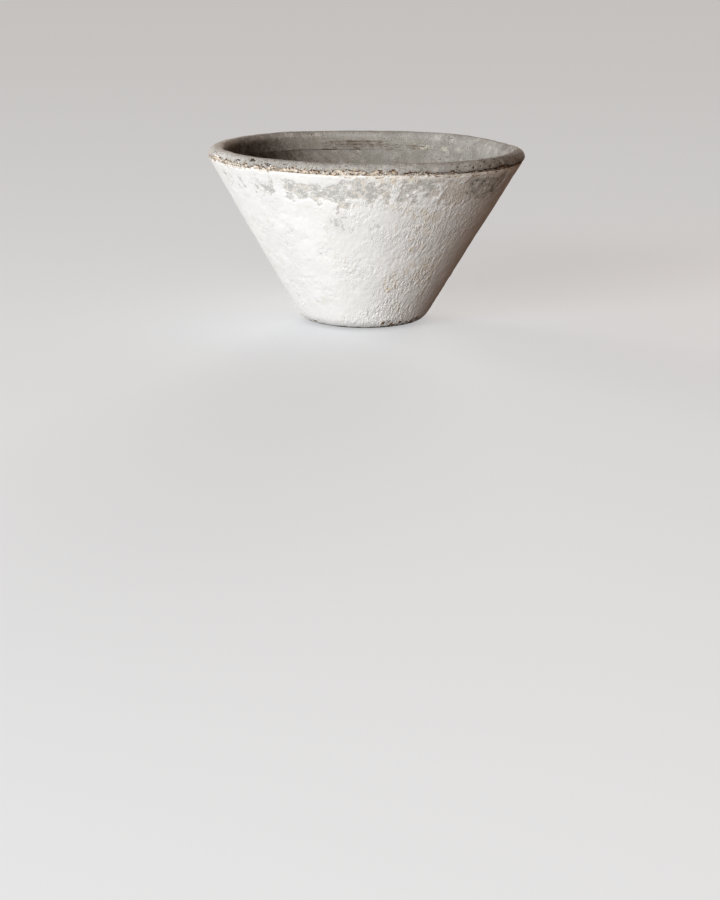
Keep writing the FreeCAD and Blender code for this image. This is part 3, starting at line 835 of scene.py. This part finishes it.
def make_floor():
    """A wide level floor, as a disc of rings of points. It looks pale, but throws little light back; its
    middle under the planter is a dark disc of painted shadow.
    """
    steps = 64
    radius = np.array([FOOT_RADIUS * 0.9, 0.5, 2.0, 8.0, 40.0])
    ring = np.arange(steps) * (2 * math.pi / steps)
    points = np.stack(np.broadcast_arrays(
        radius[:, None] * np.cos(ring), radius[:, None] * np.sin(ring), 0.0), axis=-1).reshape(-1, 3)
    i, j = np.meshgrid(np.arange(len(radius) - 1) * steps, np.arange(steps), indexing="ij")
    across = (j + 1) % steps
    quads = np.stack([i + j, i + steps + j, i + steps + across, i + across], axis=-1).reshape(-1, 4)
    mesh = bpy.data.meshes.new("floor")
    mesh.from_pydata(points.tolist(), [], [list(range(steps))] + quads.tolist())
    pale = bpy.data.materials.new("floor_paper")
    pale.use_nodes = True
    tree = pale.node_tree
    tree.nodes.clear()
    seen = add(tree, "ShaderNodeLightPath").outputs["Is Camera Ray"]
    paper = add(tree, "ShaderNodeBsdfDiffuse", {"Color": linear("#A0A4A8")})
    glow = add(tree, "ShaderNodeEmission", {"Color": linear("#AFAFAF"), "Strength": 1.0})
    shown = add(tree, "ShaderNodeAddShader", {0: paper.outputs[0], 1: glow.outputs[0]})
    bounce = add(tree, "ShaderNodeBsdfDiffuse", {"Color": linear(FLOOR_BOUNCE_AND_PAINTED_SHADOW)})
    mixed = add(tree, "ShaderNodeMixShader", {0: seen, 1: bounce.outputs[0], 2: shown.outputs[0]})
    add(tree, "ShaderNodeOutputMaterial", {"Surface": mixed.outputs[0]})
    # Painted shadow: the floor's middle, under the planter and seen only through the drain hole, is a plain
    # dark colour standing in for the shade there.
    shadow_material = bpy.data.materials.new("painted_shadow_paper")
    shadow_material.use_nodes = True
    shadow_material.node_tree.nodes["Principled BSDF"].inputs["Base Color"].default_value = linear(FLOOR_BOUNCE_AND_PAINTED_SHADOW)
    mesh.materials.append(pale)
    mesh.materials.append(shadow_material)
    mesh.polygons[0].material_index = 1
    floor = bpy.data.objects.new("floor", mesh)
    bpy.context.scene.collection.objects.link(floor)


def make_world():
    """Weak warm light from all round, that the view sees as a pale ground."""
    world = bpy.data.worlds.new("studio")
    world.use_nodes = True
    tree = world.node_tree
    tree.nodes.clear()
    seen = add(tree, "ShaderNodeLightPath").outputs["Is Camera Ray"]
    light = add(tree, "ShaderNodeBackground", {"Color": linear("#D3A886"), "Strength": 0.23})
    ground = add(tree, "ShaderNodeBackground", {"Color": linear("#C5C3C1"), "Strength": 1.0})
    mixed = add(tree, "ShaderNodeMixShader", {0: seen, 1: light.outputs[0], 2: ground.outputs[0]})
    add(tree, "ShaderNodeOutputWorld", {"Surface": mixed.outputs[0]})
    bpy.context.scene.world = world


make_camera()
make_lamp("key", "AREA", -39, 12, 8.0, 600, "#F5FBFF", size=3.6)
make_lamp("fill", "AREA", -12, 12, 8.0, 400, "#FFF8F2", size=3.6)
make_lamp("right", "AREA", 98, 14, 1.6, 2.2, "#FFC6A8", size=1.0)
make_lamp("back_right", "SUN", 170, 6, 4.0, 3.4, "#FFF6EE", angle=SUN_SOFTNESS)
make_lamp("back_left", "SUN", -130, 6, 4.0, 2.2, "#FFF8F2", angle=SUN_SOFTNESS)
make_floor()
make_world()
bpy.context.scene.view_settings.view_transform = "Standard"
